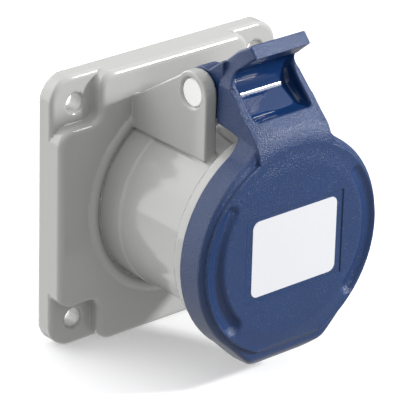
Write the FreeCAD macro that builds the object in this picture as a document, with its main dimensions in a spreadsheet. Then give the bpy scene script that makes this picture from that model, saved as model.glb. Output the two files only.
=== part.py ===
import FreeCAD, Part
import Sketcher
import math
import os
import re

# Panel socket, 16 A, three contacts, with a sprung lid.
# The origin is the centre of the flange's back face. The socket's axis is Y and its mouth
# faces -Y, X is to the right seen from the front and Z is up. Lengths are in millimetres.

doc = FreeCAD.newDocument("panel_socket")
sheet = doc.addObject("Spreadsheet::Sheet", "Sizes")
already = set(globals())

# Flange: a square pad with a raised plate that leaves a notch at each fixing hole.
flange_side = 75.0
flange_corner = 7.0
pad_thick = 5.2
pad_round = 1.3
plate_thick = 9.1
plate_round = 1.6
notch_edge_x = 12.9
notch_edge_z = 12.7
notch_inner = 3.0
notch_flare = 4.5
fixing_edge = 7.5
fixing_hole = 5.2
fixing_chamfer = 0.4
back_wall = 3.6
recess_edge = 6.5
groove_land = 2.2
groove_wide = 2.4
groove_deep = 2.0

# Barrel: walls and steps are counted outwards from the bore, lengths from the flange's back.
plug_room = 3.4
bead_foot = 2.7
bead_wide = 3.2
bead_high = 0.9
bead_edge = 0.7
band_wall = 2.4
band_end = 17.2
wall_back = 2.0
wall_front = 2.6
collar_high = 3.0
collar_back = 41.9
collar_long = 4.5
collar_bevel = 0.5
lip_wall = 2.1
lip_long = 4.2
bore_lead = 0.7
keyway_half = 3.1
keyway_deep = 1.2
keyway_long = 30.0

# Hinge: two ears on the barrel, a pin, and the lid's knuckles between the ears.
hinge_y = 32.0
hinge_rise = 15.4
ear_inner = 11.1
ear_thick = 3.7
ear_radius = 5.7
ear_drop = 8.3
ear_sunk = 7.4
ear_chamfer = 0.375
pin_radius = 3.7
pin_fit = 0.05
pin_sink = 0.4
pin_chamfer = 0.3
knuckle_fit = 0.08
knuckle_gap = 0.3
knuckle_radius = 6.0
knuckle_crest_angle = 106.0

# Lid: a shallow cap over the collar, with a raised face and two side channels.
lid_over = 2.0
lid_gap = 0.4
lid_depth = 3.7
lid_wall = 3.5
skirt_wall = 2.6
skirt_set_in = 0.4
rim_round = 1.4
face_high = 1.4
face_margin = 1.9
channel_edge = 0.2
channel_wide = 3.3
channel_deep = 1.8
channel_top_angle = 40.0
channel_bottom_angle = 43.0
gasket_rib_wide = 1.45
gasket_rib_high = 1.2

# Finger lip below the lid, and the step above it where the raised face ends.
step_in = 5.2
step_half = 10.0
step_flare_x = 12.7
step_flare_drop = 1.7
step_deep = 1.35
lip_flank_out = 1.76
lip_flank_angle = 55.26
lip_half = 9.3
lip_reach = 2.5
lip_crest_back = 4.3
lip_front_fall = 3.9
lip_back_fall = 0.7

# Lid neck and finger lever. Points of their side view are counted from the hinge pin,
# forwards as "ahead" and upwards as "above", or from the lid's edge.
neck_half = 12.0
neck_top_half = 11.6
neck_crown_more = 1.5
neck_foot_ahead = 0.3
neck_foot_in = 1.1
neck_head_ahead = 10.4
neck_head_above = 3.4
neck_root_in = 3.0
neck_gap = 0.4
cheek_back_under = 6.6
cheek_mid_ahead = 11.4
cheek_mid_out = 0.6
cheek_front_in = 0.1
lever_half = 9.1
lever_under_ahead = 11.8
lever_under_above = 8.6
lever_throat = 3.2
lever_tip_low_ahead = 17.2
lever_tip_low_above = 13.0
lever_tip_high_ahead = 14.8
lever_tip_high_above = 15.7
lever_back_ahead = 10.0
lever_back_above = 12.9
lever_heel_ahead = 5.2
lever_heel_above = 8.6
pocket_half = 9.2
pocket_rim = 7.3
pocket_floor = 10.0
pocket_end = 16.5
pocket_deep = 2.85
pocket_curl = 5.6

# Label plate, set in a shallow recess in the lid's face.
label_half = 14.0
label_top = 10.8
label_bottom = 9.9
label_thick = 0.3
label_corner = 2.0
label_recess_deep = 0.35
label_margin_x = 2.0
label_margin_z = 1.15

# Rubber parts.
gasket_wide = 3.25
gasket_clear = 0.1
gasket_play = 0.05
seal_width = 1.8
seal_deep = 1.75
seal_y = 11.0

# Torsion spring round the hinge pin.
wire_radius = 0.55
wire_side_count = 8
coil_clear = 0.4
coil_count = 4
leg_lean_angle = 50.0
coil_pitch = 1.3
spring_slot_half = 5.5
spring_clear = 0.1
spring_leg_up = 6.0

# Insulators with their carrier ring, and terminal holder, put in from the back.
carrier_fit = 0.1
insulator_clear = 0.1
insulator_play = 0.05
foot_ledge = 2.0
foot_long = 4.0
tower_wall = 6.5
tower_sunk = 5.1
tower_bevel = 0.8
plug_front = 14.0
disc_clear = 0.5
carrier_disc_thick = 3.0
block_wall = 8.5
block_back = 9.0
pitch_radius = 12.5
cavity_floor = 0.5
entry_lead = 0.6
front_wall = 2.0

# Contact sleeves: the two live ones are alike, the earth one is larger.
live_bore = 2.55
live_wall = 1.05
earth_bore = 3.55
earth_wall = 1.15
entry_clear = 0.25
ring_thick = 0.5
ring_wide = 2.0
ring_clear = 0.05
chamber_clear = 0.1
sleeve_back = 14.0
sleeve_front_clear = 0.3
pin_depth = 25.0
slit_wide = 0.8
slit_long = 15.0
shank_radius = 3.0
tail_radius = 2.2
tail_long = 5.0

# Terminal blocks, retainer and screws.
terminal_half = 4.6
terminal_clear = 0.1
tail_clear = 0.1
clamp_radius = 1.9
clamp_head = 3.0
clamp_head_long = 2.2
clamp_y = 2.6
clamp_access_clear = 0.4
retainer_edge = 1.5
retainer_thick = 2.5
wire_hole = 2.7
screw_radius = 1.35
screw_bite_clear = 0.05
screw_pass_clear = 0.25
screw_head = 2.7
screw_head_high = 2.0
screw_end = 0.2
retainer_screw_long = 9.0
retainer_screw_out = 2.7
carrier_screw_bite = 2.8
slot_wide = 0.8
slot_deep = 0.9
cut_over = 1.0

# Sizes that follow from the ones above.
follows = {
    "notch_x": "flange_side / 2 - notch_edge_x",
    "notch_z": "flange_side / 2 - notch_edge_z",
    "fixing_pitch": "flange_side - 2 * fixing_edge",
    "recess_radius": "flange_side / 2 - recess_edge",
    "groove_inner": "recess_radius + groove_land",
    "groove_outer": "groove_inner + groove_wide",
    "carrier_disc": "recess_radius - disc_clear",
    "tower_radius": "pitch_radius + tower_wall",
    "bore_radius": "tower_radius + plug_room",
    "foot_radius": "tower_radius + foot_ledge",
    "block_radius": "pitch_radius + block_wall",
    "cavity_half": "terminal_half + terminal_clear",
    "clamp_access": "clamp_head + clamp_access_clear",
    "screw_hole": "screw_radius + screw_bite_clear",
    "screw_pass": "screw_radius + screw_pass_clear",
    "retainer_radius": "block_radius - retainer_edge",
    "retainer_screw_ring": "pitch_radius + retainer_screw_out",
    "carrier_screw_ring": "(bore_radius + carrier_disc) / 2",
    "bead_inner": "bore_radius + bead_foot",
    "bead_outer": "bead_inner + bead_wide",
    "band_radius": "bore_radius + band_wall",
    "barrel_back": "bore_radius + wall_back",
    "barrel_front": "bore_radius + wall_front",
    "collar_radius": "barrel_front + collar_high",
    "lip_radius": "bore_radius + lip_wall",
    "collar_front": "collar_back + collar_long",
    "mouth": "collar_front + lip_long",
    "tower_front": "mouth - tower_sunk",
    "lid_gasket_inner": "bore_radius - gasket_play",
    "lid_gasket_outer": "lid_gasket_inner + gasket_wide",
    "gasket_rib_inner": "lid_gasket_inner - gasket_rib_wide",
    "hinge_z": "bore_radius + hinge_rise",
    "ear_foot": "hinge_z - ear_drop",
    "ear_root": "bore_radius - ear_sunk",
    "lid_radius": "collar_radius + lid_over",
    "rim_front": "mouth + lid_depth",
    "face_front": "rim_front + face_high",
    "face_radius": "lid_radius - face_margin",
    "channel_outer": "face_radius - channel_edge",
    "channel_inner": "channel_outer - channel_wide",
    "step_z": "lid_radius - step_in",
    "step_flare_z": "step_z + step_flare_drop",
    "lip_flank_x": "(lid_radius + lip_flank_out) * cos(lip_flank_angle)",
    "lip_flank_z": "(lid_radius + lip_flank_out) * sin(lip_flank_angle)",
    "lip_drop": "lid_radius + lip_reach",
    "lip_crest": "rim_front - lip_crest_back",
    "lip_slope_z": "lip_drop - lip_front_fall",
    "lip_back_z": "lip_drop - lip_back_fall",
    "neck_crown": "lid_radius + neck_crown_more",
    "neck_foot_y": "rim_front + neck_foot_ahead",
    "neck_foot_z": "lid_radius - neck_foot_in",
    "neck_head_y": "hinge_y + neck_head_ahead",
    "neck_head_z": "hinge_z + neck_head_above",
    "neck_root": "lid_radius - neck_root_in",
    "cheek_back_z": "hinge_z - cheek_back_under",
    "cheek_mid_y": "hinge_y + cheek_mid_ahead",
    "cheek_mid_z": "lid_radius + cheek_mid_out",
    "cheek_front_z": "lid_radius - cheek_front_in",
    "lever_under_y": "hinge_y + lever_under_ahead",
    "lever_under_z": "hinge_z + lever_under_above",
    "lever_tip_low_y": "hinge_y + lever_tip_low_ahead",
    "lever_tip_low_z": "hinge_z + lever_tip_low_above",
    "lever_tip_high_y": "hinge_y + lever_tip_high_ahead",
    "lever_tip_high_z": "hinge_z + lever_tip_high_above",
    "lever_back_y": "hinge_y + lever_back_ahead",
    "lever_back_z": "hinge_z + lever_back_above",
    "lever_heel_y": "hinge_y + lever_heel_ahead",
    "lever_heel_z": "hinge_z + lever_heel_above",
}

# Every size gets a cell of its own in the sheet, under its own name.
names = [name for name in globals() if name not in already and name not in ("already", "follows")]
texts = {name: str(globals()[name]) for name in names}
texts.update({name: "=" + text for name, text in follows.items()})
names = list(texts)
for row, name in enumerate(names, 1):
    sheet.set("A%d" % row, texts[name])
    sheet.setAlias("A%d" % row, name)
doc.recompute()

words = re.compile(r"[A-Za-z_][A-Za-z_0-9]*")
features = []


def cells(text):
    """The expression text with each size's name pointed at its cell."""
    return words.sub(lambda w: "Sizes." + w.group(0) if w.group(0) in names else w.group(0), text)


def value(text):
    """The number that the expression has now."""
    number = sheet.evalExpression(cells(text))
    return float(getattr(number, "Value", number))


def drive(item, path, text):
    """Bind one property of an object to an expression of sizes."""
    item.setExpression(path, cells(text))


def new_body(label):
    body = doc.addObject("PartDesign::Body", label)
    body.Label = label
    features.append(body)
    return body


def datum(body, role):
    """One of the body's own origin planes or axes."""
    return [item for item in body.Origin.OriginFeatures if item.Role == role][0]


def new_sketch(body, name, role, offset="0"):
    """A sketch on one of the body's origin planes, shifted along the plane's normal."""
    sketch = body.newObject("Sketcher::SketchObject", name)
    sketch.AttachmentSupport = [(datum(body, role), "")]
    sketch.MapMode = "FlatFace"
    drive(sketch, "AttachmentOffset.Base.z", offset)
    return sketch


def outline(sketch, steps):
    """Close a loop through the steps.

    A step is x and y where a straight line ends, or x, y, radius and side where an arc
    that turns to that side ends. The first step ends the last line or arc. Every point is
    held by two driven distances and every arc by its driven radius.
    """
    spots = [(value(step[0]), value(step[1])) for step in steps]
    first = sketch.GeometryCount
    count = len(steps)
    shapes = []
    ends = []
    radii = []
    for i in range(count):
        step = steps[(i + 1) % count]
        start = FreeCAD.Vector(spots[i][0], spots[i][1], 0)
        stop = FreeCAD.Vector(spots[(i + 1) % count][0], spots[(i + 1) % count][1], 0)
        if len(step) == 2:
            shapes.append(Part.LineSegment(start, stop))
            ends.append((1, 2))
            continue
        radius = value(step[2])
        turn = 1 if step[3] == "left" else -1
        chord = stop - start
        rise = math.sqrt(max(radius ** 2 - (chord.Length / 2) ** 2, 0.0))
        across = FreeCAD.Vector(-chord.y, chord.x, 0).normalize()
        centre = (start + stop) * 0.5 + across * rise * turn
        circle = Part.Circle(centre, FreeCAD.Vector(0, 0, 1), radius)
        low, high = (start, stop) if turn == 1 else (stop, start)
        begin = math.atan2(low.y - centre.y, low.x - centre.x)
        finish = math.atan2(high.y - centre.y, high.x - centre.x)
        if finish < begin:
            finish += 2 * math.pi
        shapes.append(Part.ArcOfCircle(circle, begin, finish))
        ends.append((1, 2) if turn == 1 else (2, 1))
        radii.append((first + i, radius, step[2]))
    sketch.addGeometry(shapes, False)
    held = []
    texts = []
    for i in range(count):
        after = (i + 1) % count
        held.append(Sketcher.Constraint("Coincident", first + i, ends[i][1], first + after, ends[after][0]))
        texts.append(None)
    for i in range(count):
        held.append(Sketcher.Constraint("DistanceX", -1, 1, first + i, ends[i][0], spots[i][0]))
        texts.append(steps[i][0])
        held.append(Sketcher.Constraint("DistanceY", -1, 1, first + i, ends[i][0], spots[i][1]))
        texts.append(steps[i][1])
    for index, radius, text in radii:
        held.append(Sketcher.Constraint("Radius", index, radius))
        texts.append(text)
    base = sketch.ConstraintCount
    sketch.addConstraint(held)
    for i, text in enumerate(texts):
        if text is not None:
            drive(sketch, "Constraints[%d]" % (base + i), text)


def ring(sketch, x, y, radius):
    """A driven circle."""
    spot = FreeCAD.Vector(value(x), value(y), 0)
    index = sketch.addGeometry(Part.Circle(spot, FreeCAD.Vector(0, 0, 1), value(radius)), False)
    base = sketch.ConstraintCount
    held = [Sketcher.Constraint("DistanceX", -1, 1, index, 3, spot.x)]
    held.append(Sketcher.Constraint("DistanceY", -1, 1, index, 3, spot.y))
    held.append(Sketcher.Constraint("Radius", index, value(radius)))
    sketch.addConstraint(held)
    for i, text in enumerate((x, y, radius)):
        drive(sketch, "Constraints[%d]" % (base + i), text)


def swept(body, kind, name, sketch, length, reverse=False, both=False):
    """A pad or a pocket of the sketch, one way or to both sides of its plane."""
    feature = body.newObject("PartDesign::" + kind, name)
    feature.Profile = sketch
    feature.Reversed = reverse
    if both:
        feature.SideType = "Symmetric"
    drive(feature, "Length", length)
    return feature


def turned(body, kind, name, sketch):
    """A revolution or a groove of the sketch about the body's Y axis."""
    feature = body.newObject("PartDesign::" + kind, name)
    feature.Profile = sketch
    feature.ReferenceAxis = (sketch, ["V_Axis"])
    feature.Angle = 360.0
    return feature


def dressed(body, kind, name, prop, text, test):
    """A fillet or a chamfer of the edges of the body's tip that pass the test."""
    doc.recompute()
    base = body.Tip
    found = ["Edge%d" % (i + 1) for i, edge in enumerate(base.Shape.Edges) if test(edge.BoundBox, edge)]
    feature = body.newObject("PartDesign::" + kind, name)
    feature.Base = (base, found)
    drive(feature, prop, text)
    return feature


def mirrored(body, name, originals):
    """The originals again on the other side of the plane X = 0."""
    feature = body.newObject("PartDesign::Mirrored", name)
    feature.Originals = originals
    feature.MirrorPlane = (datum(body, "YZ_Plane"), [""])
    body.Tip = feature
    return feature


def around(body, name, originals, copies):
    """The originals repeated evenly about the body's Y axis."""
    feature = body.newObject("PartDesign::PolarPattern", name)
    feature.Originals = originals
    feature.Axis = (datum(body, "Y_Axis"), [""])
    feature.Angle = 360.0
    feature.Occurrences = copies
    body.Tip = feature
    return feature


def at(number, text):
    return abs(number - value(text)) < 1e-4


# Front housing: flange, raised plate, barrel and ears are one moulding.
housing = new_body("front_housing")
half = "flange_side / 2"
side = "(flange_side / 2 - flange_corner)"
pad_shape = new_sketch(housing, "pad_shape", "XZ_Plane")
outline(pad_shape, [
    ("-" + side, "-" + half, "flange_corner", "left"),
    (side, "-" + half),
    (half, "-" + side, "flange_corner", "left"),
    (half, side),
    (side, half, "flange_corner", "left"),
    ("-" + side, half),
    ("-" + half, side, "flange_corner", "left"),
    ("-" + half, "-" + side),
])
swept(housing, "Pad", "flange_pad", pad_shape, "pad_thick")
dressed(housing, "Fillet", "pad_rounding", "Radius", "pad_round",
        lambda box, edge: at(box.YMin, "-pad_thick") and at(box.YMax, "-pad_thick"))

# The raised plate is a broad cross: rounded notches leave the corner pads free.
plate_shape = new_sketch(housing, "plate_shape", "XZ_Plane")
arm_x = "(flange_side / 2 - notch_flare)"
low_z = "(notch_z - notch_flare)"
low_x = "(notch_x - notch_flare)"
in_x = "(notch_x + notch_inner)"
in_z = "(notch_z + notch_inner)"
corner = [
    (half, low_z, None, None),
    (arm_x, "notch_z", "notch_flare", "left"),
    (in_x, "notch_z", None, None),
    ("notch_x", in_z, "notch_inner", "right"),
    ("notch_x", arm_x, None, None),
    (low_x, half, "notch_flare", "left"),
]
cross = []
for sign_x, sign_z in ((1, 1), (-1, 1), (-1, -1), (1, -1)):
    points = corner if sign_x == sign_z else [
        (spot[0], spot[1], step[2], step[3])
        for spot, step in zip(corner[::-1], [corner[0]] + corner[:0:-1])]
    for px, pz, radius, turn in points:
        px = px if sign_x > 0 else "-" + px
        pz = pz if sign_z > 0 else "-" + pz
        cross.append((px, pz) if radius is None else (px, pz, radius, turn))
outline(plate_shape, cross)
swept(housing, "Pad", "raised_plate", plate_shape, "plate_thick")
dressed(housing, "Fillet", "plate_rounding", "Radius", "plate_round",
        lambda box, edge: at(box.YMin, "-plate_thick") and at(box.YMax, "-plate_thick"))

# Barrel, turned solid and bored afterwards. Radius runs along x and depth along y.
bead_front = "(plate_thick + bead_high)"
barrel_shape = new_sketch(housing, "barrel_shape", "XY_Plane")
outline(barrel_shape, [
    ("0", "-pad_thick"),
    ("bead_outer", "-pad_thick"),
    ("bead_outer", "-plate_thick"),
    ("bead_outer - bead_edge", "-" + bead_front),
    ("bead_inner + bead_edge", "-" + bead_front),
    ("bead_inner", "-plate_thick"),
    ("band_radius", "-plate_thick"),
    ("band_radius", "-band_end"),
    ("barrel_back", "-band_end"),
    ("barrel_front", "-collar_back"),
    ("collar_radius - collar_bevel", "-collar_back"),
    ("collar_radius", "-(collar_back + collar_bevel)"),
    ("collar_radius", "-(collar_front - collar_bevel)"),
    ("collar_radius - collar_bevel", "-collar_front"),
    ("lip_radius", "-collar_front"),
    ("lip_radius", "-(mouth - collar_bevel)"),
    ("lip_radius - collar_bevel", "-mouth"),
    ("0", "-mouth"),
])
turned(housing, "Revolution", "barrel", barrel_shape)

# Hinge ears: upright in front, round over the pin, sloping back to the plate.
ear_rise = "(hinge_z - ear_foot)"
ear_run = "(hinge_y - plate_thick)"
slope = "(atan2(%s; %s) + asin(ear_radius / hypot(%s; %s)))" % (ear_rise, ear_run, ear_run, ear_rise)
ear_shape = new_sketch(housing, "ear_shape", "YZ_Plane", "ear_inner")
outline(ear_shape, [
    ("-plate_thick", "ear_root"),
    ("-plate_thick", "ear_foot"),
    ("-(hinge_y - ear_radius * sin(%s))" % slope, "hinge_z + ear_radius * cos(%s)" % slope),
    ("-(hinge_y + ear_radius)", "hinge_z", "ear_radius", "left"),
    ("-(hinge_y + ear_radius)", "ear_root"),
])
ear = swept(housing, "Pad", "ear", ear_shape, "ear_thick")
mirrored(housing, "ear_pair", [ear])

# The bore, the round recess behind the plate and the groove for the flange's gasket.
bore_shape = new_sketch(housing, "bore_shape", "XY_Plane")
floor_y = "(plate_thick - back_wall)"
outline(bore_shape, [
    ("0", "-(mouth + cut_over)"),
    ("bore_radius + bore_lead", "-(mouth + cut_over)"),
    ("bore_radius + bore_lead", "-mouth"),
    ("bore_radius", "-(mouth - bore_lead)"),
    ("bore_radius", "-" + floor_y),
    ("recess_radius", "-" + floor_y),
    ("recess_radius", "cut_over"),
    ("0", "cut_over"),
])
outline(bore_shape, [
    ("groove_inner", "-groove_deep"),
    ("groove_outer", "-groove_deep"),
    ("groove_outer", "cut_over"),
    ("groove_inner", "cut_over"),
])
turned(housing, "Groove", "bore", bore_shape)

# The keyway for the plug, at the bottom of the bore.
keyway_shape = new_sketch(housing, "keyway_shape", "XZ_Plane", "mouth + cut_over")
outline(keyway_shape, [
    ("-keyway_half", "-(bore_radius + keyway_deep)"),
    ("keyway_half", "-(bore_radius + keyway_deep)"),
    ("keyway_half", "-(bore_radius - keyway_half)"),
    ("-keyway_half", "-(bore_radius - keyway_half)"),
])
swept(housing, "Pocket", "keyway", keyway_shape, "keyway_long + cut_over")

# Fixing holes in the corner pads, and blind holes for the carrier's screws.
fixing_shape = new_sketch(housing, "fixing_shape", "XZ_Plane", "-cut_over")
for sign_x in ("", "-"):
    for sign_z in ("", "-"):
        ring(fixing_shape, sign_x + "fixing_pitch / 2", sign_z + "fixing_pitch / 2", "fixing_hole / 2")
swept(housing, "Pocket", "fixing_holes", fixing_shape, "plate_thick + 2 * cut_over", reverse=True)
dressed(housing, "Chamfer", "fixing_rims", "Size", "fixing_chamfer",
        lambda box, edge: at(box.YMin, "-pad_thick") and at(box.YMax, "-pad_thick")
        and at(box.XLength, "fixing_hole") and at(box.ZLength, "fixing_hole"))
blind_shape = new_sketch(housing, "blind_shape", "XZ_Plane", floor_y + " - cut_over")
for turn in ("90", "210", "330"):
    ring(blind_shape, "carrier_screw_ring * cos(%s)" % turn, "carrier_screw_ring * sin(%s)" % turn, "screw_hole")
swept(housing, "Pocket", "blind_holes", blind_shape, "carrier_screw_bite + screw_end + cut_over", reverse=True)

# The pin's hole through both ears, with a small bevel on the outer faces.
ear_outer = "(ear_inner + ear_thick)"
eye_shape = new_sketch(housing, "eye_shape", "YZ_Plane")
ring(eye_shape, "-hinge_y", "hinge_z", "pin_radius + pin_fit")
swept(housing, "Pocket", "pin_eye", eye_shape, "2 * (%s + cut_over)" % ear_outer, both=True)
dressed(housing, "Chamfer", "eye_rims", "Size", "ear_chamfer",
        lambda box, edge: (at(box.XMin, ear_outer) or at(box.XMax, "-" + ear_outer))
        and at(box.XLength, "0") and at(box.ZLength, "2 * (pin_radius + pin_fit)"))

# Lid cap: a turned disc with a raised face, hollowed last.
lid = new_body("lid")
skirt_back = "(collar_front + lid_gap)"
cap_shape = new_sketch(lid, "cap_shape", "XY_Plane")
outline(cap_shape, [
    ("0", "-" + skirt_back),
    ("lid_radius", "-" + skirt_back),
    ("lid_radius - skirt_set_in", "-(rim_front - rim_round)"),
    ("lid_radius - skirt_set_in - rim_round", "-rim_front", "rim_round", "right"),
    ("face_radius", "-rim_front"),
    ("face_radius - face_high", "-face_front"),
    ("0", "-face_front"),
])
turned(lid, "Revolution", "cap", cap_shape)

# Finger lip at the bottom: straight flanks run off the round skirt to a short flat edge.
lip_shape = new_sketch(lid, "lip_shape", "XZ_Plane", skirt_back)
flank = "(atan2(lip_flank_z; lip_flank_x) - acos(lid_radius / hypot(lip_flank_x; lip_flank_z)))"
touch_x = "lid_radius * cos(%s)" % flank
touch_z = "-lid_radius * sin(%s)" % flank
outline(lip_shape, [
    (touch_x, touch_z),
    ("lip_flank_x", "-lip_flank_z"),
    ("lip_half", "-lip_drop"),
    ("-lip_half", "-lip_drop"),
    ("-lip_flank_x", "-lip_flank_z"),
    ("-" + touch_x, touch_z),
])
swept(lid, "Pad", "finger_lip", lip_shape, "rim_front - " + skirt_back)
slope_shape = new_sketch(lid, "slope_shape", "YZ_Plane")
fall = "(lip_drop - lip_slope_z) / (rim_front - lip_crest)"
reach_y = "(face_front + cut_over)"
outline(slope_shape, [
    ("-" + reach_y, "-(lip_drop - (%s - lip_crest) * %s)" % (reach_y, fall)),
    ("-lip_crest", "-lip_drop"),
    ("-" + skirt_back, "-lip_back_z"),
    ("-(%s - cut_over)" % skirt_back, "-lip_back_z"),
    ("-(%s - cut_over)" % skirt_back, "-(lip_drop + cut_over)"),
    ("-" + reach_y, "-(lip_drop + cut_over)"),
])
swept(lid, "Pocket", "lip_slopes", slope_shape, "2 * (lip_flank_x + cut_over)", both=True)

# The step above the lip, where the raised face ends.
step_shape = new_sketch(lid, "step_shape", "XZ_Plane", "face_front + cut_over")
outline(step_shape, [
    ("-step_half", "-step_z"),
    ("step_half", "-step_z"),
    ("step_flare_x", "-step_flare_z"),
    ("step_flare_x", "-(lip_drop + cut_over)"),
    ("-step_flare_x", "-(lip_drop + cut_over)"),
    ("-step_flare_x", "-step_flare_z"),
])
swept(lid, "Pocket", "face_step", step_shape, "step_deep + cut_over")

# Neck and lever: a side view swept across the lid.
neck_back = "(hinge_y + ear_radius + neck_gap)"
heel_rise = "(lever_back_z - lever_heel_z) / (lever_back_y - lever_heel_y)"
neck_top_z = "lever_heel_z + (%s - lever_heel_y) * %s" % (neck_back, heel_rise)
neck_shape = new_sketch(lid, "neck_shape", "YZ_Plane")
outline(neck_shape, [
    ("-" + neck_back, "cheek_back_z"),
    ("-" + neck_back, neck_top_z),
    ("-lever_back_y", "lever_back_z"),
    ("-lever_tip_high_y", "lever_tip_high_z"),
    ("-lever_tip_low_y", "lever_tip_low_z"),
    ("-lever_under_y", "lever_under_z"),
    ("-neck_head_y", "neck_head_z", "lever_throat", "right"),
    ("-neck_foot_y", "neck_foot_z"),
    ("-neck_foot_y", "neck_root"),
    ("-" + skirt_back, "neck_root"),
    ("-" + skirt_back, "cheek_front_z"),
    ("-cheek_mid_y", "cheek_mid_z"),
])
swept(lid, "Pad", "neck", neck_shape, "2 * neck_half", both=True)

# The neck's front is crowned: the arched fold on the face runs up along the neck.
neck_run = "(neck_foot_y - neck_head_y)"
neck_rise = "(neck_head_z - neck_foot_z)"
crown_shape = new_sketch(lid, "crown_shape", "XZ_Plane", "neck_foot_y")
crown_side = "sqrt(neck_crown^2 - neck_half^2)"
outline(crown_shape, [
    ("-neck_half", "neck_root"),
    ("neck_half", "neck_root"),
    ("neck_half", crown_side),
    ("-neck_half", crown_side, "neck_crown", "left"),
])
crown = swept(lid, "Pad", "crown", crown_shape, "hypot(%s; %s)" % (neck_run, neck_rise))
crown.UseCustomVector = True
crown.AlongSketchNormal = False
crown.Direction = FreeCAD.Vector(0, 1, 1)
drive(crown, "Direction.y", neck_run)
drive(crown, "Direction.z", neck_rise)

# Both sides lean in from the fold to the head of the neck, and more up the lever.
taper_shape = new_sketch(lid, "taper_shape", "XZ_Plane")
outline(taper_shape, [
    ("neck_half", "neck_foot_z"),
    ("neck_half + cut_over", "neck_foot_z"),
    ("neck_half + cut_over", "lever_tip_high_z + cut_over"),
    ("lever_half", "lever_tip_high_z + cut_over"),
    ("lever_half", "lever_tip_low_z"),
    ("neck_top_half", "neck_head_z"),
])
taper = swept(lid, "Pocket", "taper", taper_shape, "lever_tip_low_y * 2 + cut_over", both=True)
mirrored(lid, "taper_pair", [taper])

# Knuckles: the part of the lid that turns on the pin, between the ears.
knuckle_shape = new_sketch(lid, "knuckle_shape", "YZ_Plane")
outline(knuckle_shape, [
    ("-(%s + cut_over)" % neck_back, "cheek_back_z"),
    ("-hinge_y", "hinge_z - knuckle_radius"),
    ("-(hinge_y - knuckle_radius)", "hinge_z", "knuckle_radius", "left"),
    ("-hinge_y + knuckle_radius * cos(knuckle_crest_angle)", "hinge_z + knuckle_radius * sin(knuckle_crest_angle)",
     "knuckle_radius", "left"),
    ("-lever_heel_y", "lever_heel_z"),
    ("-" + neck_back, neck_top_z),
    ("-(%s + cut_over)" % neck_back, neck_top_z),
])
swept(lid, "Pad", "knuckles", knuckle_shape, "2 * (ear_inner - knuckle_gap)", both=True)

# The hollow between the neck's ribs curls up into the lever's underside.
neck_tilt = "atan2(%s; %s)" % (neck_rise, neck_run)


def on_neck(along, deep):
    """A point along the neck's front line and below it, in the side view."""
    turn = {"a": along, "d": deep, "n": neck_tilt}
    return ("-neck_foot_y + (%(a)s) * cos(%(n)s) + (%(d)s) * sin(%(n)s)" % turn,
            "neck_foot_z + (%(a)s) * sin(%(n)s) - (%(d)s) * cos(%(n)s)" % turn)


hollow_shape = new_sketch(lid, "hollow_shape", "YZ_Plane")
outline(hollow_shape, [
    on_neck("pocket_rim", "-pocket_deep"),
    on_neck("pocket_rim", "0"),
    on_neck("pocket_floor", "pocket_deep"),
    on_neck("pocket_end", "pocket_deep"),
    ("-lever_under_y", "lever_under_z", "pocket_curl", "left"),
    ("-lever_tip_low_y", "lever_under_z"),
])
swept(lid, "Pocket", "neck_hollow", hollow_shape, "2 * pocket_half", both=True)

# A slot between the knuckles leaves room for the spring.
coil_mean = "(pin_radius + coil_clear + wire_radius)"
slot_y = "(hinge_y + %s + wire_radius + spring_clear)" % coil_mean
slot_shape = new_sketch(lid, "slot_shape", "YZ_Plane")
outline(slot_shape, [
    ("-" + slot_y, "cheek_back_z - cut_over"),
    ("-(hinge_y - knuckle_radius - cut_over)", "cheek_back_z - cut_over"),
    ("-(hinge_y - knuckle_radius - cut_over)", "lever_heel_z + cut_over"),
    ("-" + slot_y, "lever_heel_z + cut_over"),
])
swept(lid, "Pocket", "spring_slot", slot_shape, "2 * spring_slot_half", both=True)
turn_shape = new_sketch(lid, "turn_shape", "YZ_Plane")
ring(turn_shape, "-hinge_y", "hinge_z", "pin_radius + knuckle_fit")
swept(lid, "Pocket", "pin_bore", turn_shape, "2 * (ear_inner + cut_over)", both=True)

# Two crescent channels beside the raised face.
channel_shape = new_sketch(lid, "channel_shape", "XZ_Plane", "face_front + cut_over")
outline(channel_shape, [
    ("channel_inner * cos(channel_bottom_angle)", "-channel_inner * sin(channel_bottom_angle)",
     "channel_inner", "right"),
    ("channel_outer * cos(channel_bottom_angle)", "-channel_outer * sin(channel_bottom_angle)"),
    ("channel_outer * cos(channel_top_angle)", "channel_outer * sin(channel_top_angle)", "channel_outer", "left"),
    ("channel_inner * cos(channel_top_angle)", "channel_inner * sin(channel_top_angle)"),
])
channel = swept(lid, "Pocket", "channel", channel_shape, "channel_deep + cut_over")
mirrored(lid, "channel_pair", [channel])

# The label's recess, and the hollow inside with the rib that keeps the gasket in place.
margin_x = "(label_half + label_margin_x)"
recess_top = "(label_top + label_margin_z)"
recess_low = "(label_bottom + label_margin_z)"


def rounded(right, top, low, radius):
    """A rectangle with round corners, alike to the left and the right."""
    return [
        ("-(%s - %s)" % (right, radius), "-" + low, radius, "left"),
        ("%s - %s" % (right, radius), "-" + low),
        (right, "-(%s - %s)" % (low, radius), radius, "left"),
        (right, "%s - %s" % (top, radius)),
        ("%s - %s" % (right, radius), top, radius, "left"),
        ("-(%s - %s)" % (right, radius), top),
        ("-" + right, "%s - %s" % (top, radius), radius, "left"),
        ("-" + right, "-(%s - %s)" % (low, radius)),
    ]


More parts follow.
